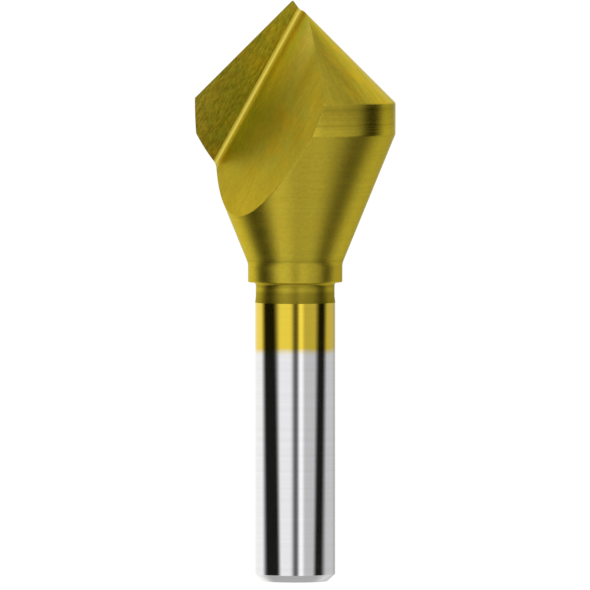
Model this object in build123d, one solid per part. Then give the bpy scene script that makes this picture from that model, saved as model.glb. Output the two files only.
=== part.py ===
from build123d import *
import os
from math import cos, radians, sin, tan

# Single-flute 90 degree countersink bit, turned and ground from one bar of tool steel.
# It stands on its shank end: the origin is the centre of that face, and +Z runs up the tool
# axis to the point. Seen from the front, looking along +Y, the cutting edge is the left side
# of the point, and the flute is open to the front and to the left. The tool cuts right-handed.
# Lengths are in millimetres and angles in degrees.

# ---- shank ----
shank_diameter = 8.0          # cylinder that a chuck or collet grips
shank_length = 27.8           # from the end face to the neck
shank_chamfer = 0.7           # 45 degree lead-in at the end face

# ---- neck, where the shank meets the head ----
neck_length = 2.05            # from the shank to the underside of the collar
neck_relief = 0.075           # how far its wall lies below the shank's
neck_runout = 0.6             # length over which the neck rises to the shank
neck_corner_radius = 0.35     # hollow corner under the collar

# ---- collar ----
collar_step = 0.7             # how far the collar stands proud of the shank
collar_length = 1.85
collar_blend_radius = 1.5     # hollow corner between the collar and the back taper

# ---- head ----
head_diameter = 20.0          # the land, and the widest countersink it can cut
taper_half_angle = 22.3       # back taper from the collar out to the land
land_length = 3.57            # from the back taper to the outer corner of the cutting edge

# ---- point ----
point_angle = 90.0            # included angle of the cone that it cuts
relief_offset = 0.24          # how far the axis of the point cone lies off the tool axis
relief_lead = 12.0            # how far that offset runs ahead of the cutting edge

# ---- flute ----
rake_lean = 31.0              # lean of the rake face away from the axial plane of the edge
root_setback = 1.45           # from the cutting edge to the flute root, at the point
root_spread = 18.8            # between the cutting edge and the flute root
flute_angle = 90.0            # between the rake face and the flute floor
root_radius = 0.45            # left along the root by the corner of the grinding wheel

# ---- sizes that follow ----
shank_radius = shank_diameter / 2
neck_radius = shank_radius - neck_relief
collar_radius = shank_radius + collar_step
head_radius = head_diameter / 2

collar_bottom = shank_length + neck_length
collar_top = collar_bottom + collar_length
land_bottom = collar_top + (head_radius - collar_radius) / tan(radians(taper_half_angle))
edge_corner_height = land_bottom + land_length

# ---- directions ----
edge_side = Vector(-1, 0, 0)  # from the axis towards the cutting edge
cut_side = Vector(0, -1, 0)   # the way the cutting edge moves as it cuts

# ---- the point cone ----
relief_shift = (
    edge_side * (relief_offset * cos(radians(relief_lead)))
    + cut_side * (relief_offset * sin(radians(relief_lead)))
)
point_slope = 1 / tan(radians(point_angle / 2))
edge_reach = head_radius - relief_shift.dot(edge_side)
point_height = edge_corner_height + edge_reach * point_slope


def round_edge(blank, radius, height):
    """The edge of the blank that is a circle of this radius at this height."""
    circles = blank.edges().filter_by(GeomType.CIRCLE)
    return min(circles, key=lambda ring: abs(ring.radius - radius) + abs(ring.center().Z - height))


def turned_blank():
    """The blank as it leaves the lathe: shank, neck, collar, back taper and a plain head."""
    with BuildPart() as blank:
        with BuildSketch(Plane.XZ):
            with BuildLine():
                Polyline(
                    (0, 0),
                    (shank_radius - shank_chamfer, 0),
                    (shank_radius, shank_chamfer),
                    (shank_radius, shank_length),
                    (neck_radius, shank_length + neck_runout),
                    (neck_radius, collar_bottom),
                    (collar_radius, collar_bottom),
                    (collar_radius, collar_top),
                    (head_radius, land_bottom),
                    (head_radius, point_height),
                    (0, point_height),
                    close=True,
                )
            make_face()
        revolve(axis=Axis.Z)
        fillet(round_edge(blank, neck_radius, collar_bottom), neck_corner_radius)
        fillet(round_edge(blank, collar_radius, collar_top), collar_blend_radius)
    return blank.part


def point_cone():
    """The relieved point: its axis is off the tool axis, so it falls away behind the edge."""
    base_radius = point_height / point_slope
    base = (Align.CENTER, Align.CENTER, Align.MIN)
    cone = Cone(base_radius, 0, point_height, align=base)
    return Pos(relief_shift.X, relief_shift.Y, 0) * cone


def flute():
    """The space that the grinding wheel sweeps: its corner, drawn along the flute root."""
    apex = relief_shift + Vector(0, 0, point_height)
    down_edge = (edge_side - Vector(0, 0, point_slope)).normalized()
    inward = cut_side.cross(down_edge)
    lean = radians(rake_lean)
    across_rake = inward * cos(lean) - cut_side * sin(lean)

    spread = radians(root_spread)
    down_root = down_edge * cos(spread) + across_rake * sin(spread)
    toward_edge = down_edge * sin(spread) - across_rake * cos(spread)
    root_start = apex + across_rake * root_setback
    section_plane = Plane(origin=root_start, x_dir=toward_edge, z_dir=-down_root)

    reach = 2 * head_diameter
    floor_angle = radians(flute_angle)
    floor_end = (reach * cos(floor_angle), reach * sin(floor_angle))
    with BuildPart() as wheel:
        with BuildSketch(section_plane) as section:
            with BuildLine():
                Polyline((0, 0), (reach, 0), (reach, reach), floor_end, close=True)
            make_face()
            corner = section.vertices().sort_by_distance((0, 0))[0]
            fillet(corner, root_radius)
        extrude(amount=reach, both=True)
    return wheel.part


def countersink_bit():
    """The finished tool: the blank, cut to the point cone and then fluted."""
    return (turned_blank() & point_cone()) - flute()


os.makedirs("parts", exist_ok=True)
export_step(countersink_bit().solid(), "parts/countersink_bit.step")
print(f"overall length {point_height:.2f} mm")
print(f"land from {land_bottom:.2f} mm to {edge_corner_height:.2f} mm")
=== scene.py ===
from math import cos, radians, sin, tan

import bmesh
import bpy
from mathutils import Matrix, Vector


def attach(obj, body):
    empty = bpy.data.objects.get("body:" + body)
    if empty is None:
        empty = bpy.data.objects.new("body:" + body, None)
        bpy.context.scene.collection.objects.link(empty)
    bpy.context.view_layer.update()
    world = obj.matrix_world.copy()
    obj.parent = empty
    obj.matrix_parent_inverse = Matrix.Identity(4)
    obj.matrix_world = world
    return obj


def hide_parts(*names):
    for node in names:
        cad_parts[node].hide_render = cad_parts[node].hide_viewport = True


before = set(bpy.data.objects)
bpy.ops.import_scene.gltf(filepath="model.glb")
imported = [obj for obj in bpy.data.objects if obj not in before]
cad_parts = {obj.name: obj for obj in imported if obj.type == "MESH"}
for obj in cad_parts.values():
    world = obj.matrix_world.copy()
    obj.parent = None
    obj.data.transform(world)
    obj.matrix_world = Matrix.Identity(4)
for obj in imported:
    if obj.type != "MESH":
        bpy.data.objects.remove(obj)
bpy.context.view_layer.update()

# Single-flute 90 degree countersink bit. It stands on its shank end with the point up, and the
# camera looks along +Y. Lengths are in millimetres until MM turns them into metres.
MM = 0.001

# ---- turned shape ----
SHANK_RADIUS = 4.0
SHANK_LENGTH = 27.8
SHANK_CHAMFER = 0.7
NECK_RADIUS = 3.925
NECK_RUNOUT = 0.6
NECK_CORNER = 0.35
COLLAR_RADIUS = 4.7
COLLAR_BOTTOM = 29.85
COLLAR_TOP = 31.7
COLLAR_BLEND = 1.5
HEAD_RADIUS = 10.0
TAPER_HALF_ANGLE = 22.3
LAND_LENGTH = 3.57
LAND_BOTTOM = COLLAR_TOP + (HEAD_RADIUS - COLLAR_RADIUS) / tan(radians(TAPER_HALF_ANGLE))
EDGE_CORNER = LAND_BOTTOM + LAND_LENGTH
EDGE_BREAK = 0.05             # turned corners are rounded by this much
TURN_STEPS = 360              # facets round the tool

# ---- point cone, off the tool axis so that it falls away behind the cutting edge ----
RELIEF_OFFSET = 0.24
RELIEF_LEAD = 12.0
RELIEF_X = -RELIEF_OFFSET * cos(radians(RELIEF_LEAD))
RELIEF_Y = -RELIEF_OFFSET * sin(radians(RELIEF_LEAD))
POINT_HEIGHT = EDGE_CORNER + HEAD_RADIUS + RELIEF_X
TIP_RADIUS = 0.09

# ---- flute ----
RAKE_LEAN = 31.0
ROOT_SETBACK = 1.45
ROOT_SPREAD = 18.8
ROOT_RADIUS = 0.45
ROOT_STEPS = 14               # facets round the root radius
WHEEL_REACH = 60.0            # takes the wheel well past the head on all sides

# ---- mesh ----
ON_LINE = 0.01                # how near a corner lies to the line that it is part of
TURNED_WELD = 0.001           # corners nearer than this become one, after turning
CUT_WELD = 0.0001             # and after the cuts
SHARP_ANGLE = 16.0            # edges that turn further than this stay sharp

# the order of the finishes on the bit
SHANK, TURNED, CONE, RAKE, FLOOR, ROOT = range(6)


# ------------------------------------------------------------------ mesh helpers


def ring_edges(mesh, radius, height):
    """The edges of the turned ring with this radius and height."""

    def on_ring(corner):
        spot = corner.co
        off_line = max(abs(spot.xy.length - radius), abs(spot.z - height))
        return off_line < ON_LINE

    return [edge for edge in mesh.edges if all(on_ring(corner) for corner in edge.verts)]


def round_ring(mesh, radius, height, offset, segments):
    """Rounds one turned ring."""
    bmesh.ops.bevel(
        mesh,
        geom=ring_edges(mesh, radius, height),
        offset=offset,
        offset_type="OFFSET",
        segments=segments,
        profile=0.5,
        affect="EDGES",
        material=-1,
        clamp_overlap=True,
    )


def new_piece(name, mesh, materials):
    """A mesh object at the origin, in metres, from a bmesh in millimetres."""
    bmesh.ops.recalc_face_normals(mesh, faces=mesh.faces)
    bmesh.ops.scale(mesh, vec=Vector((MM, MM, MM)), verts=mesh.verts)
    data = bpy.data.meshes.new(name)
    mesh.to_mesh(data)
    mesh.free()
    for material in materials:
        data.materials.append(material)
    piece = bpy.data.objects.new(name, data)
    bpy.context.scene.collection.objects.link(piece)
    return piece


# ------------------------------------------------------------------ shapes


def turned_blank():
    """Shank, neck, collar, back taper and a plain head, turned in one."""
    profile = [
        (0, 0),
        (SHANK_RADIUS - SHANK_CHAMFER, 0),
        (SHANK_RADIUS, SHANK_CHAMFER),
        (SHANK_RADIUS, SHANK_LENGTH),
        (NECK_RADIUS, SHANK_LENGTH + NECK_RUNOUT),
        (NECK_RADIUS, COLLAR_BOTTOM),
        (COLLAR_RADIUS, COLLAR_BOTTOM),
        (COLLAR_RADIUS, COLLAR_TOP),
        (HEAD_RADIUS, LAND_BOTTOM),
        (HEAD_RADIUS, POINT_HEIGHT),
        (0, POINT_HEIGHT),
    ]
    mesh = bmesh.new()
    corners = [mesh.verts.new((radius, 0, height)) for radius, height in profile]
    lines = [mesh.edges.new(pair) for pair in zip(corners, corners[1:])]
    bmesh.ops.spin(
        mesh,
        geom=corners + lines,
        cent=(0, 0, 0),
        axis=(0, 0, 1),
        angle=radians(360),
        steps=TURN_STEPS,
        use_merge=True,
    )
    bmesh.ops.remove_doubles(mesh, verts=mesh.verts, dist=TURNED_WELD)
    bmesh.ops.recalc_face_normals(mesh, faces=mesh.faces)
    blend_offset = COLLAR_BLEND * tan(radians(TAPER_HALF_ANGLE / 2))
    round_ring(mesh, SHANK_RADIUS - SHANK_CHAMFER, 0, EDGE_BREAK, 2)
    round_ring(mesh, SHANK_RADIUS, SHANK_CHAMFER, EDGE_BREAK, 2)
    round_ring(mesh, NECK_RADIUS, COLLAR_BOTTOM, NECK_CORNER, 10)
    round_ring(mesh, COLLAR_RADIUS, COLLAR_BOTTOM, EDGE_BREAK, 3)
    round_ring(mesh, COLLAR_RADIUS, COLLAR_TOP, blend_offset, 8)
    round_ring(mesh, HEAD_RADIUS, LAND_BOTTOM, EDGE_BREAK, 3)
    for face in mesh.faces:
        face.material_index = SHANK if face.calc_center_median().z < SHANK_LENGTH else TURNED
    return mesh


def point_cone():
    """The cone that the point is ground to, standing on the base of the bit."""
    mesh = bmesh.new()
    height = POINT_HEIGHT - TIP_RADIUS
    stand = Matrix.Translation((RELIEF_X, RELIEF_Y, height / 2))
    bmesh.ops.create_cone(
        mesh,
        cap_ends=True,
        segments=TURN_STEPS,
        radius1=POINT_HEIGHT,
        radius2=TIP_RADIUS,
        depth=height,
        matrix=stand,
    )
    for face in mesh.faces:
        face.material_index = CONE
    return mesh


def flute_frame():
    """Where the flute root starts, and its directions: to the edge, off the rake, up the root."""
    edge_side = Vector((-1, 0, 0))
    cut_side = Vector((0, -1, 0))
    apex = Vector((RELIEF_X, RELIEF_Y, POINT_HEIGHT))
    down_edge = (edge_side - Vector((0, 0, 1))).normalized()
    inward = cut_side.cross(down_edge)
    lean = radians(RAKE_LEAN)
    across_rake = inward * cos(lean) - cut_side * sin(lean)
    spread = radians(ROOT_SPREAD)
    down_root = down_edge * cos(spread) + across_rake * sin(spread)
    toward_edge = down_edge * sin(spread) - across_rake * cos(spread)
    off_rake = (-down_root).cross(toward_edge)
    return apex + across_rake * ROOT_SETBACK, toward_edge, off_rake, -down_root


def flute_wheel():
    """The square corner of the grinding wheel, as it sweeps along the flute root."""
    start, toward_edge, off_rake, up_root = flute_frame()
    block = (WHEEL_REACH, WHEEL_REACH, 2 * WHEEL_REACH)
    mesh = bmesh.new()
    bmesh.ops.create_cube(mesh, size=1.0)
    bmesh.ops.translate(mesh, vec=(0.5, 0.5, 0), verts=mesh.verts)
    bmesh.ops.scale(mesh, vec=block, verts=mesh.verts)
    for face in mesh.faces:
        face.material_index = RAKE if face.normal.y < -0.5 else FLOOR
    root = [
        edge
        for edge in mesh.edges
        if all(corner.co.xy.length < ON_LINE for corner in edge.verts)
    ]
    rounded = bmesh.ops.bevel(
        mesh,
        geom=root,
        offset=ROOT_RADIUS,
        offset_type="OFFSET",
        segments=ROOT_STEPS,
        profile=0.5,
        affect="EDGES",
        material=-1,
    )
    for face in rounded["faces"]:
        face.material_index = ROOT
    placed = Matrix((toward_edge, off_rake, up_root)).transposed().to_4x4()
    placed.translation = start
    bmesh.ops.transform(mesh, matrix=placed, verts=mesh.verts)
    return mesh


def cut(piece, tool, operation):
    """Cuts one piece with another and keeps the result as plain mesh."""
    cutter = piece.modifiers.new("cut", "BOOLEAN")
    cutter.operation = operation
    cutter.solver = "EXACT"
    cutter.material_mode = "INDEX"
    cutter.object = tool
    depsgraph = bpy.context.evaluated_depsgraph_get()
    result = bpy.data.meshes.new_from_object(piece.evaluated_get(depsgraph))
    piece.modifiers.clear()
    piece.data = result
    bpy.data.objects.remove(tool)


# ------------------------------------------------------------------ material helpers

# what a face seen edge-on tends towards
COATED_RIM = (0.92, 0.86, 0.46, 1.0)
STEEL_RIM = (1.0, 0.99, 0.95, 1.0)


def new_material(name):
    """An empty node material."""
    material = bpy.data.materials.new(name)
    material.use_nodes = True
    material.node_tree.nodes.clear()
    return material


def add(tree, kind, inputs=None, **settings):
    """Adds a node. Inputs are values or other nodes' output sockets."""
    node = tree.nodes.new(kind)
    for name, value in settings.items():
        setattr(node, name, value)
    for socket, value in (inputs or {}).items():
        if isinstance(value, bpy.types.NodeSocket):
            tree.links.new(value, node.inputs[socket])
        else:
            node.inputs[socket].default_value = value
    return node


def value_of(tree, operation, *inputs):
    """A Math node's result."""
    return add(tree, "ShaderNodeMath", dict(enumerate(inputs)), operation=operation).outputs[0]


def blend_value(tree, factor, low, high, start=0.0, end=1.0, curve="LINEAR"):
    """A value that goes from low to high while the factor goes from start to end."""
    inputs = {"Value": factor, "From Min": start, "From Max": end, "To Min": low, "To Max": high}
    node = add(tree, "ShaderNodeMapRange", inputs, clamp=True, interpolation_type=curve)
    return node.outputs[0]


def vary(tree, grain, low, high):
    """A value from low to high, over the middle range where most of the noise lies."""
    return blend_value(tree, grain, low, high, 0.3, 0.7)


def blend_colour(tree, factor, first, second, mode="MIX"):
    """A colour that goes from the first to the second with the factor."""
    inputs = {0: factor, 6: first, 7: second}
    node = add(tree, "ShaderNodeMix", inputs, data_type="RGBA", blend_type=mode)
    return node.outputs[2]


def shaded(tree, colour, tone):
    """The colour made lighter or darker by a tone around 1."""
    grey = add(tree, "ShaderNodeCombineColor", {0: tone, 1: tone, 2: tone}).outputs[0]
    return blend_colour(tree, 1.0, colour, grey, mode="MULTIPLY")


def noise(tree, place, stretch, detail, roughness=0.6):
    """Noise with this many grains a millimetre along x, y and z."""
    mapped = add(tree, "ShaderNodeMapping", {"Vector": place, "Scale": stretch})
    settings = {"Scale": 1.0, "Detail": detail, "Roughness": roughness}
    settings["Vector"] = mapped.outputs[0]
    return add(tree, "ShaderNodeTexNoise", settings).outputs[0]


def place_in_mm(tree):
    """The bit's own coordinates, in millimetres."""
    coordinates = add(tree, "ShaderNodeTexCoord").outputs["Object"]
    inputs = {0: coordinates, "Scale": 1000.0}
    return add(tree, "ShaderNodeVectorMath", inputs, operation="SCALE").outputs[0]


def height_and_radius(tree, place):
    """The height up the tool axis and the distance from it."""
    parts = add(tree, "ShaderNodeSeparateXYZ", {0: place}).outputs
    flat = add(tree, "ShaderNodeCombineXYZ", {0: parts[0], 1: parts[1]}).outputs[0]
    radius = add(tree, "ShaderNodeVectorMath", {0: flat}, operation="LENGTH")
    return parts[2], radius.outputs["Value"]


def rings(tree, place, per_mm):
    """Turned rings: noise that changes only along the tool and across its steps."""
    height, radius = height_and_radius(tree, place)
    line = add(tree, "ShaderNodeCombineXYZ", {0: radius, 1: height}).outputs[0]
    return noise(tree, line, (per_mm, per_mm, per_mm), 2.0)


def spokes(tree, place, around, along):
    """Streaks that run from the point outwards over the cone."""
    centred = add(
        tree,
        "ShaderNodeVectorMath",
        {0: place, 1: (-RELIEF_X, -RELIEF_Y, 0)},
        operation="ADD",
    ).outputs[0]
    parts = add(tree, "ShaderNodeSeparateXYZ", {0: centred}).outputs
    flat = add(tree, "ShaderNodeCombineXYZ", {0: parts[0], 1: parts[1]}).outputs[0]
    spoke = add(tree, "ShaderNodeVectorMath", {0: flat}, operation="NORMALIZE").outputs[0]
    spread = add(tree, "ShaderNodeSeparateXYZ", {0: spoke}).outputs
    inputs = {0: spread[0], 1: spread[1], 2: parts[2]}
    line = add(tree, "ShaderNodeCombineXYZ", inputs).outputs[0]
    return noise(tree, line, (around, around, along), 3.0)


def along_root(tree, place):
    """Coordinates turned to the flute: y grows out from the rake face, z up along the root."""
    _, toward_edge, off_rake, up_root = flute_frame()
    turn = Matrix((toward_edge, off_rake, up_root)).transposed().to_euler()
    inputs = {"Vector": place, "Rotation": turn}
    node = add(tree, "ShaderNodeVectorRotate", inputs, rotation_type="EULER_XYZ", invert=True)
    return node.outputs[0]


def metal(tree, colour, roughness, bumps, edge_radius=0.0, rim=COATED_RIM):
    """The closing shader: metal with grinding marks, and edges broken by edge_radius."""
    marks = {"Strength": 1.0}
    if edge_radius:
        radius = {"Radius": edge_radius * MM}
        marks["Normal"] = add(tree, "ShaderNodeBevel", radius, samples=8).outputs[0]
    for height, depth in bumps:
        marks.update({"Height": height, "Distance": depth * MM})
        marks["Normal"] = add(tree, "ShaderNodeBump", marks).outputs[0]
    inputs = {
        "Base Color": colour,
        "Metallic": 1.0,
        "Roughness": roughness,
        "Specular Tint": rim,
        "Normal": marks["Normal"],
    }
    shader = add(tree, "ShaderNodeBsdfPrincipled", inputs)
    add(tree, "ShaderNodeOutputMaterial", {"Surface": shader.outputs[0]})


# ------------------------------------------------------------------ finishes

SHANK_GOLD = (0.80, 0.60, 0.060, 1.0)
HEAD_WARM = (0.62, 0.45, 0.032, 1.0)
HEAD_GREEN = (0.54, 0.46, 0.045, 1.0)
HEAD_ORANGE = (0.78, 0.47, 0.020, 1.0)
# darker than the head's coat: partly a duller coat on the ground face, partly painted shade in
# the flute
RAKE_WARM = (0.50, 0.405, 0.045, 1.0)
RAKE_GREEN = (0.40, 0.39, 0.055, 1.0)
# the floor's painted reflection: greener along the root, paler beside the upper root, a brighter
# gold on the lobe
FLOOR_GREEN = (0.51, 0.51, 0.085, 1.0)
FLOOR_PALE = (0.66, 0.50, 0.085, 1.0)
FLOOR_GOLD = (0.68, 0.50, 0.036, 1.0)
# lighter than the coat elsewhere: a painted highlight on the root fillet, also spilt onto the
# floor beside it
ROOT_HIGHLIGHT_GOLD = (0.87, 0.715, 0.112, 1.0)
STEEL = (0.80, 0.80, 0.815, 1.0)

# the line on the shank where the coating ends
COATING_END = 23.05
COATING_FADE = 0.35
COATING_WANDER = 0.3

# how far the light rounds an edge between two ground faces
HEAD_EDGE = 0.22
FLOOR_EDGE = 0.10

# where the floor's painted reflection changes, in heights up the tool
LOBE_END = (38.0, 41.5)
GREEN_START = (42.0, 45.0)
PALE_START = (46.0, 53.0)
# and in distances out from the root line, for the root's painted highlight, the painted shade
# beside it and the root side of the painted reflection
ROOT_HIGHLIGHT_END = (0.55, 0.8)
ROOT_SHADE_END = (0.75, 1.65)
ROOT_SIDE_END = (0.5, 7.0)

# painted light and shade up the turned faces, as height, tone: painted shade darkens the neck,
# the hollow corners at the collar and a band below the land's top edge; painted highlights
# lighten the collar's lower edge and the land's lower and upper edges
TURNED_LIGHT_AND_SHADE = [
    (27.8, 0.58),
    (28.2, 0.60),
    (28.4, 0.63),
    (28.72, 0.60),
    (28.98, 0.84),
    (29.15, 0.93),
    (29.28, 0.88),
    (29.45, 0.74),
    (29.62, 0.70),
    (29.75, 0.98),
    (29.9, 1.16),
    (30.1, 1.04),
    (31.7, 1.04),
    (32.05, 0.80),
    (32.4, 1.0),
    (44.6, 1.0),
    (44.8, 1.10),
    (45.3, 1.08),
    (45.6, 0.92),
    (46.2, 0.95),
    (46.9, 0.90),
    (47.2, 0.76),
    (47.45, 0.78),
    (47.75, 0.98),
    (47.95, 1.12),
]


def shank_material():
    """Finely ground steel, mirror bright, coated above a soft uneven line."""
    material = new_material("ground_shank")
    tree = material.node_tree
    place = place_in_mm(tree)
    height, _ = height_and_radius(tree, place)
    wander = noise(tree, place, (0.5, 0.5, 0.5), 2.0)
    uneven = blend_value(tree, wander, -COATING_WANDER, COATING_WANDER)
    edge = value_of(tree, "ADD", height, uneven)
    fade = (COATING_END - COATING_FADE, COATING_END + COATING_FADE)
    coated = blend_value(tree, edge, 0.0, 1.0, *fade)
    colour = blend_colour(tree, coated, STEEL, SHANK_GOLD)
    fine = rings(tree, place, 9.0)
    coarse = rings(tree, place, 2.0)
    roughness = vary(tree, fine, 0.06, 0.14)
    tone = vary(tree, coarse, 0.96, 1.03)
    bumps = [(coarse, 0.0010), (fine, 0.0004)]
    metal(tree, shaded(tree, colour, tone), roughness, bumps, rim=STEEL_RIM)
    return material


def painted_turned_shading(tree, height):
    """The painted light and shade up the head, as one grey ramp over the height."""
    low, high = TURNED_LIGHT_AND_SHADE[0][0], TURNED_LIGHT_AND_SHADE[-1][0]
    share = blend_value(tree, height, 0.0, 1.0, low, high)
    ramp = add(tree, "ShaderNodeValToRGB", {0: share})
    stops = ramp.color_ramp.elements
    while len(stops) < len(TURNED_LIGHT_AND_SHADE):
        stops.new(0.5)
    for stop, (level, tone) in zip(stops, TURNED_LIGHT_AND_SHADE):
        stop.position = (level - low) / (high - low)
        stop.color = (tone, tone, tone, 1.0)
    return ramp.outputs[0]


def turned_material():
    """Satin neck, collar, back taper and land, with the rings that turning left."""
    material = new_material("coated_turned_head")
    tree = material.node_tree
    place = place_in_mm(tree)
    height, _ = height_and_radius(tree, place)
    patches = noise(tree, place, (0.3, 0.3, 0.3), 4.0)
    coat = blend_colour(tree, patches, HEAD_WARM, HEAD_GREEN)
    # painted light and shade from the ramp, multiplied into the coat
    coat = blend_colour(tree, 1.0, coat, painted_turned_shading(tree, height), mode="MULTIPLY")
    coarse = rings(tree, place, 2.6)
    fine = rings(tree, place, 8.0)
    cloud = noise(tree, place, (2.5, 2.5, 3.5), 3.0)
    on_land = blend_value(tree, height, 0.0, 1.0, LAND_BOTTOM - 0.1, LAND_BOTTOM + 0.1)
    cut_depth = blend_value(tree, on_land, 0.35, 1.0)
    ridges = value_of(tree, "MULTIPLY", value_of(tree, "SUBTRACT", coarse, 0.5), cut_depth)
    ringed = value_of(tree, "MULTIPLY_ADD", ridges, 0.5, 1.0)
    clouded = vary(tree, cloud, 0.93, 1.07)
    colour = shaded(tree, coat, value_of(tree, "MULTIPLY", ringed, clouded))
    satin = blend_value(tree, on_land, 0.33, 0.22)
    roughness = value_of(tree, "ADD", vary(tree, fine, 0.0, 0.08), satin)
    bumps = [(ridges, 0.008), (fine, 0.002), (cloud, 0.004)]
    metal(tree, colour, roughness, bumps, HEAD_EDGE)
    return material


def cone_material():
    """The ground point: streaks that run down from the tip."""
    material = new_material("coated_point_cone")
    tree = material.node_tree
    place = place_in_mm(tree)
    patches = noise(tree, place, (0.4, 0.4, 0.4), 4.0)
    coat = blend_colour(tree, patches, HEAD_WARM, HEAD_GREEN)
    tint = noise(tree, place, (0.55, 0.55, 0.55), 2.0)
    heated = blend_value(tree, tint, 0.0, 0.6, 0.52, 0.68)
    coat = blend_colour(tree, heated, coat, HEAD_ORANGE)
    streaks = spokes(tree, place, 14.0, 0.35)
    grains = noise(tree, place, (2.6, 2.6, 2.6), 4.0)
    streaked = vary(tree, streaks, 0.88, 1.12)
    grained = vary(tree, grains, 0.92, 1.08)
    colour = shaded(tree, coat, value_of(tree, "MULTIPLY", streaked, grained))
    roughness = vary(tree, grains, 0.28, 0.38)
    metal(tree, colour, roughness, [(streaks, 0.020), (grains, 0.008)], HEAD_EDGE)
    return material


def flute_face_material(name, coat, line_depth, grain_depth, contrast, rough, edge_radius=0.0):
    """A flute face ground along the root: lines along it, and grains where the wheel tore."""
    material = new_material(name)
    tree = material.node_tree
    place = place_in_mm(tree)
    ground = along_root(tree, place)
    colour = coat(tree, place, ground)
    long_lines = noise(tree, ground, (3.5, 3.5, 0.25), 3.0)
    grains = noise(tree, ground, (4.5, 4.5, 1.6), 3.0, 0.7)
    lined = vary(tree, long_lines, 1 - contrast / 2, 1 + contrast / 2)
    grained = vary(tree, grains, 1 - contrast, 1 + contrast)
    colour = shaded(tree, colour, value_of(tree, "MULTIPLY", lined, grained))
    bumps = [(long_lines, line_depth), (grains, grain_depth)]
    metal(tree, colour, vary(tree, grains, *rough), bumps, edge_radius)
    return material


def patched(tree, place, warm, green):
    """A coat that is warmer in some soft patches and greener in others."""
    patches = noise(tree, place, (0.45, 0.45, 0.45), 3.0)
    return blend_colour(tree, blend_value(tree, patches, 0.0, 1.0, 0.36, 0.64), warm, green)


def rake_coat(tree, place, ground):
    """The rake face's coat: soft patches and nothing else, in colours darker than the head's,
    partly as painted shade.
    """
    return patched(tree, place, RAKE_WARM, RAKE_GREEN)


def root_coat(tree, place, ground):
    """The root's coat: one bright gold, lighter than the coat elsewhere as a painted highlight.
    """
    return ROOT_HIGHLIGHT_GOLD


def floor_coat(tree, place, ground):
    """The floor's coat with painted reflection, shade and highlight: dark along the root, pale
    beside the upper root, warm on the lobe.
    """
    height, _ = height_and_radius(tree, place)
    start, _, off_rake, _ = flute_frame()
    from_rake = add(tree, "ShaderNodeSeparateXYZ", {0: ground}).outputs[1]
    from_root = value_of(tree, "SUBTRACT", from_rake, start.dot(off_rake))
    root_side = blend_value(tree, from_root, 1.0, 0.0, *ROOT_SIDE_END)
    above_lobe = blend_value(tree, height, 0.0, 1.0, *GREEN_START)
    towards_tip = blend_value(tree, height, 0.0, 1.0, *PALE_START)
    on_lobe = blend_value(tree, height, 1.0, 0.0, *LOBE_END)
    # painted highlight: the root's gold spills onto the floor next to the root
    root_highlight_spill = blend_value(tree, from_root, 0.5, 0.0, *ROOT_HIGHLIGHT_END)
    # painted reflection: greener and paler zones on the root side, gold on the lobe
    green = value_of(tree, "MULTIPLY", root_side, above_lobe)
    pale = value_of(tree, "MULTIPLY", root_side, towards_tip)
    coat = patched(tree, place, HEAD_WARM, HEAD_GREEN)
    coat = blend_colour(tree, green, coat, FLOOR_GREEN)
    coat = blend_colour(tree, pale, coat, FLOOR_PALE)
    coat = blend_colour(tree, on_lobe, coat, FLOOR_GOLD)
    coat = blend_colour(tree, root_highlight_spill, coat, ROOT_HIGHLIGHT_GOLD)

    off_root = blend_value(tree, from_root, 0.0, 1.0, *ROOT_SHADE_END)
    root_shade = blend_value(tree, off_root, 0.86, 1.0)
    streaks = noise(tree, place, (0.5, 0.5, 0.10), 2.0)
    # painted highlight: the floor beside the upper root made up to about twice as bright
    upper_floor_highlight = value_of(tree, "MULTIPLY", pale, off_root)
    tone = value_of(tree, "MULTIPLY_ADD", upper_floor_highlight, 1.1, vary(tree, streaks, 0.93, 1.07))
    return shaded(tree, coat, value_of(tree, "MULTIPLY", tone, root_shade))


def finishes():
    """All materials, in the order of the finish numbers."""
    rake = flute_face_material(
        "coated_rake_face",
        rake_coat,
        line_depth=0.016,
        grain_depth=0.030,
        contrast=0.34,
        rough=(0.34, 0.50),
    )
    floor = flute_face_material(
        "coated_flute_floor",
        floor_coat,
        line_depth=0.010,
        grain_depth=0.008,
        contrast=0.14,
        rough=(0.30, 0.42),
        edge_radius=FLOOR_EDGE,
    )
    root = flute_face_material(
        "coated_flute_root",
        root_coat,
        line_depth=0.001,
        grain_depth=0.001,
        contrast=0.04,
        rough=(0.34, 0.42),
    )
    return [shank_material(), turned_material(), cone_material(), rake, floor, root]


# ------------------------------------------------------------------ the bit


def build_bit():
    """The whole tool as one closed piece that stands for the CAD solid."""
    materials = finishes()
    bit = new_piece("countersink_bit_body", turned_blank(), materials)
    cut(bit, new_piece("point_blank", point_cone(), materials), "INTERSECT")
    cut(bit, new_piece("grinding_wheel", flute_wheel(), materials), "DIFFERENCE")

    mesh = bmesh.new()
    mesh.from_mesh(bit.data)
    bmesh.ops.remove_doubles(mesh, verts=mesh.verts, dist=CUT_WELD * MM)
    bmesh.ops.recalc_face_normals(mesh, faces=mesh.faces)
    mesh.to_mesh(bit.data)
    mesh.free()
    bit.data.shade_smooth()
    bit.data.set_sharp_from_angle(angle=radians(SHARP_ANGLE))
    weighted = bit.modifiers.new("true_flats", "WEIGHTED_NORMAL")
    weighted.keep_sharp = True
    weighted.weight = 100

    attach(bit, "root")
    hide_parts("countersink_bit")


# ------------------------------------------------------------------ studio

FLOOR_HALF_SIZE = 30000.0
FLOOR_GLOW = 1.07
FLOOR_GLOW_SHARE = 0.9        # the rest is paper, which takes the shadow


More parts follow.
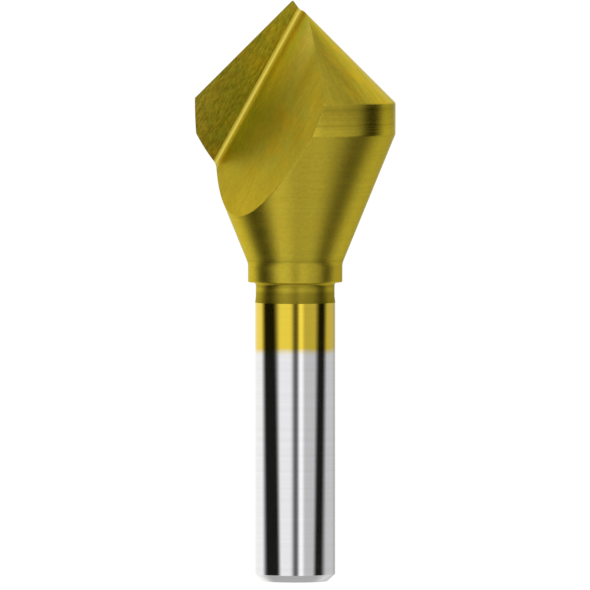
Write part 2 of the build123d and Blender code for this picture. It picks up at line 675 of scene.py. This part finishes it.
def build_floor():
    """A plain white floor that keeps a soft shadow under the bit."""
    mesh = bmesh.new()
    bmesh.ops.create_grid(mesh, x_segments=1, y_segments=1, size=FLOOR_HALF_SIZE)
    material = new_material("white_floor")
    tree = material.node_tree
    paper = add(tree, "ShaderNodeBsdfDiffuse", {"Color": (0.9, 0.9, 0.9, 1)})
    glow = add(tree, "ShaderNodeEmission", {"Color": (1, 1, 1, 1), "Strength": FLOOR_GLOW})
    shown = add(tree, "ShaderNodeLightPath").outputs["Is Camera Ray"]
    share = blend_value(tree, shown, 0.0, FLOOR_GLOW_SHARE)
    mixed = add(tree, "ShaderNodeMixShader", {0: share, 1: paper.outputs[0], 2: glow.outputs[0]})
    add(tree, "ShaderNodeOutputMaterial", {"Surface": mixed.outputs[0]})
    floor = new_piece("studio_floor", mesh, [material])
    floor.visible_glossy = False


# how far across; height of the top; where the front and back edges lie at the bottom, then at
# the top; softness of those edges
FLAGS = [
    (-30.0, 36.0, (-34.2, 0.4), (-18.2, 7.5), 7.0),
    (30.0, 50.0, (-24.3, -5.1), (-8.9, 6.2), 5.5),
]
FLAG_BOTTOM = -8.0
FLAG_BLACK = (0.02, 0.022, 0.018, 1.0)


def soft_flag_material(name, top, low, high, softness):
    """A black card that thins out towards its front and back edges."""
    material = new_material(name)
    tree = material.node_tree
    parts = add(tree, "ShaderNodeSeparateXYZ", {0: place_in_mm(tree)}).outputs
    rise = blend_value(tree, parts[2], 0.0, 1.0, FLAG_BOTTOM, top)
    front = blend_value(tree, rise, low[0], high[0])
    back = blend_value(tree, rise, low[1], high[1])
    from_front = value_of(tree, "SUBTRACT", parts[1], front)
    from_back = value_of(tree, "SUBTRACT", back, parts[1])
    nearest = value_of(tree, "MINIMUM", from_front, from_back)
    cover = blend_value(tree, nearest, 0.0, 1.0, -softness, softness, "SMOOTHSTEP")
    card = add(tree, "ShaderNodeBsdfDiffuse", {"Color": FLAG_BLACK})
    clear = add(tree, "ShaderNodeBsdfTransparent")
    mixed = add(tree, "ShaderNodeMixShader", {0: cover, 1: clear.outputs[0], 2: card.outputs[0]})
    add(tree, "ShaderNodeOutputMaterial", {"Surface": mixed.outputs[0]})
    return material


def build_flags():
    """Two narrow black flags beside the bit, each leaning back towards its top."""
    for number, (across, top, low, high, softness) in enumerate(FLAGS):
        mesh = bmesh.new()
        bmesh.ops.create_grid(mesh, x_segments=1, y_segments=1, size=1.0)
        front = min(low[0], high[0]) - softness
        back = max(low[1], high[1]) + softness
        half_size = Vector(((top - FLAG_BOTTOM) / 2, (back - front) / 2, 1))
        bmesh.ops.scale(mesh, vec=half_size, verts=mesh.verts)
        bmesh.ops.rotate(mesh, matrix=Matrix.Rotation(radians(90), 3, "Y"), verts=mesh.verts)
        middle = Vector((across, (front + back) / 2, (FLAG_BOTTOM + top) / 2))
        bmesh.ops.translate(mesh, vec=middle, verts=mesh.verts)
        material = soft_flag_material(f"black_card_{number}", top, low, high, softness)
        flag = new_piece(f"studio_flag_{number}", mesh, [material])
        flag.visible_camera = False
        flag.visible_diffuse = False
        flag.visible_shadow = False


def band(tree, angle, centre, half_width, softness):
    """1 within half_width of the centre, 0 outside it, with soft sides. Angles in degrees."""
    offset = value_of(tree, "SUBTRACT", angle, centre)
    distance = value_of(tree, "ABSOLUTE", value_of(tree, "WRAP", offset, 180.0, -180.0))
    side = (half_width - softness, half_width + softness)
    return blend_value(tree, distance, 1.0, 0.0, *side, "SMOOTHSTEP")


def card_cover(tree, azimuth, elevation, card):
    """How much of each direction a soft card covers, from 0 to 1."""
    side, width, side_soft, rise, height, top_soft = card
    across = band(tree, azimuth, side, width, side_soft)
    upright = band(tree, elevation, rise, height, top_soft)
    return value_of(tree, "MULTIPLY", across, upright)


# Cards round the bit. The azimuth is 0 in front and grows towards +X.
# azimuth, half width, side softness, elevation, half height, top softness, brightness
SOFTBOXES = [
    (-29.0, 20.0, 8.0, 0.0, 58.0, 15.0, 0.50),
    (34.0, 26.0, 5.0, 0.0, 50.0, 15.0, 0.12),
    (16.5, 7.0, 6.0, 0.0, 34.0, 15.0, 0.55),
    (40.0, 11.0, 7.0, -42.0, 14.0, 9.0, 0.22),
    (-45.0, 10.0, 8.0, -42.0, 14.0, 9.0, 0.28),
    (-145.0, 48.0, 12.0, -12.0, 27.0, 14.0, 0.55),
    (118.0, 22.0, 10.0, 0.0, 16.0, 10.0, 0.16),
    (126.0, 30.0, 14.0, -32.0, 16.0, 12.0, 0.34),
    (156.0, 32.0, 14.0, 24.0, 15.0, 10.0, 0.42),
    (90.0, 110.0, 30.0, 84.0, 14.0, 12.0, 0.26),
]
# the same, but each takes away this share of the light
GAPS = [
    (1.5, 7.0, 6.0, 0.0, 30.0, 15.0, 0.75),
    (122.0, 16.0, 8.0, 53.0, 7.0, 7.0, 0.15),
]
ROOM_LIGHT = 0.50


def light_studio():
    """A pale room with soft cards on all sides, seen as plain white by the camera."""
    world = bpy.data.worlds.new("studio")
    bpy.context.scene.world = world
    world.use_nodes = True
    tree = world.node_tree
    tree.nodes.clear()
    direction = add(tree, "ShaderNodeTexCoord").outputs["Generated"]
    parts = add(tree, "ShaderNodeSeparateXYZ", {0: direction})
    towards_front = value_of(tree, "MULTIPLY", parts.outputs[1], -1.0)
    turn = value_of(tree, "ARCTAN2", parts.outputs[0], towards_front)
    azimuth = value_of(tree, "DEGREES", turn)
    elevation = value_of(tree, "DEGREES", value_of(tree, "ARCSINE", parts.outputs[2]))

    light = ROOM_LIGHT
    for *card, brightness in SOFTBOXES:
        cover = card_cover(tree, azimuth, elevation, card)
        light = value_of(tree, "MULTIPLY_ADD", cover, brightness, light)
    for *card, share in GAPS:
        cover = card_cover(tree, azimuth, elevation, card)
        kept = value_of(tree, "MULTIPLY_ADD", cover, -share, 1.0)
        light = value_of(tree, "MULTIPLY", light, kept)

    path = add(tree, "ShaderNodeLightPath")
    lit = add(tree, "ShaderNodeBackground", {"Color": (1, 1, 1, 1), "Strength": light})
    white = add(tree, "ShaderNodeBackground", {"Color": (1, 1, 1, 1), "Strength": 1.0})
    mixed = add(
        tree,
        "ShaderNodeMixShader",
        {0: path.outputs["Is Camera Ray"], 1: lit.outputs[0], 2: white.outputs[0]},
    )
    add(tree, "ShaderNodeOutputWorld", {"Surface": mixed.outputs[0]})


CAMERA_DISTANCE = 2000.0
CAMERA_DROP = 2.3             # degrees that it looks down
VIEW_CENTRE = Vector((-0.02, 0, 28.54))
VIEW_WIDTH = 58.82            # across the picture, level with the tool axis
SENSOR_WIDTH = 36.0


def place_camera():
    """A long lens, aimed slightly down at the middle of the bit."""
    drop = radians(CAMERA_DROP)
    data = bpy.data.cameras.new("camera")
    data.sensor_width = SENSOR_WIDTH
    data.lens = SENSOR_WIDTH * CAMERA_DISTANCE / VIEW_WIDTH
    data.clip_start = 0.1
    data.clip_end = 100.0
    camera = bpy.data.objects.new("camera", data)
    bpy.context.scene.collection.objects.link(camera)
    back = Vector((0, -cos(drop), sin(drop))) * CAMERA_DISTANCE
    camera.location = (VIEW_CENTRE + back) * MM
    camera.rotation_euler = (radians(90) - drop, 0, 0)
    bpy.context.scene.camera = camera


build_bit()
build_floor()
build_flags()
light_studio()
place_camera()
bpy.context.scene.view_settings.view_transform = "Standard"
